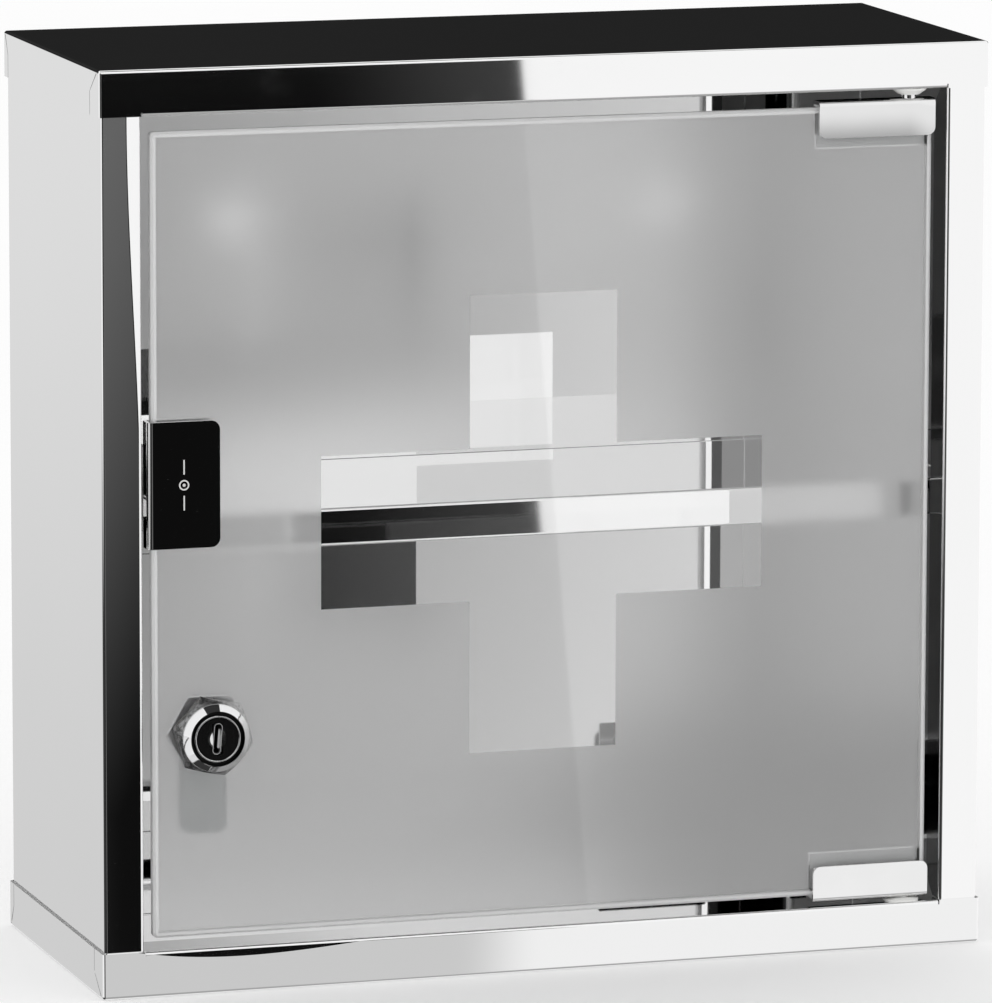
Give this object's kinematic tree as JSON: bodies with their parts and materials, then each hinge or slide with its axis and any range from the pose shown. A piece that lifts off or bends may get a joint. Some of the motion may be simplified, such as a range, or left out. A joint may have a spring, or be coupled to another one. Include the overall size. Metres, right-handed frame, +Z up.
{
  "type": "wall medicine cabinet",
  "caption": "Small square wall cabinet of polished stainless sheet with a frosted glass door on pivot clips, a shelf, a push-to-open catch and a cam lock.",
  "frame": {"origin": "middle of the base face, on the plane that the bottom cap would stand on", "axes": "+X to the right of someone who faces the door, +Y to the wall, +Z up"},
  "size_m": [0.3, 0.1235, 0.3],
  "materials": {
    "polished_stainless": "stainless sheet polished to a mirror",
    "chromed_steel": "chrome plated and polished",
    "chromed_zinc": "zinc casting, chrome plated and polished",
    "plug_metal": "nickel plated, satin face",
    "zinc_steel": "zinc plated steel",
    "spring_steel": "drawn spring wire",
    "magnet_metal": "nickel plated magnet",
    "door_glass": "toughened glass, etched on its back except for a clear cross",
    "clear_liner": "soft clear plastic",
    "white_nylon": "white nylon, as moulded",
    "white_plastic": "white plastic, as moulded",
    "black_plastic": "glossy black plastic",
    "black_rubber": "soft black washer"
  },
  "bodies": {
    "cabinet": {"top_cap": "polished_stainless", "bottom_cap": "polished_stainless", "left_side_panel": "polished_stainless", "right_side_panel": "polished_stainless", "back_panel": "polished_stainless", "shelf": "polished_stainless", "top_pivot_bush": "white_nylon", "bottom_pivot_bush": "white_nylon", "top_pivot_washer": "white_nylon", "bottom_pivot_washer": "white_nylon", "latch_housing": "white_plastic", "latch_spring": "spring_steel", "latch_screws": "zinc_steel", "latch_nuts": "zinc_steel"},
    "door": {"glass_door": "door_glass", "top_hinge_clip": "chromed_steel", "bottom_hinge_clip": "chromed_steel", "top_hinge_liner": "clear_liner", "bottom_hinge_liner": "clear_liner", "top_pivot_pin": "chromed_steel", "bottom_pivot_pin": "chromed_steel", "hinge_grub_screws": "zinc_steel", "strike_plate": "chromed_steel", "strike_pad": "clear_liner", "lock_housing": "chromed_zinc", "lock_washers": "black_rubber", "lock_nut": "chromed_zinc"},
    "lock_barrel": {"lock_plug": "plug_metal", "lock_face_ring": "black_plastic", "lock_cam": "zinc_steel", "cam_washer": "zinc_steel", "cam_screw": "zinc_steel"},
    "latch_push": {"latch_plunger": "white_plastic", "latch_magnet": "magnet_metal"}
  },
  "joints": [
    {"name": "door_hinge", "type": "hinge", "parent": "cabinet", "child": "door", "pos_m": [0.1245, -0.054, 0.15], "axis": [0, 0, 1], "range_deg": [0, 120]},
    {"name": "lock_turn", "type": "hinge", "parent": "door", "child": "lock_barrel", "pos_m": [-0.1124, -0.056, 0.084], "axis": [0, 1, 0], "range_deg": [0, 90]},
    {"name": "latch_press", "type": "slide", "parent": "cabinet", "child": "latch_push", "axis": [0, 1, 0], "range_m": [0, 0.003], "stiffness_N_per_m": 300, "springref_m": -0.008, "deforming": ["latch_spring"]}
  ]
}
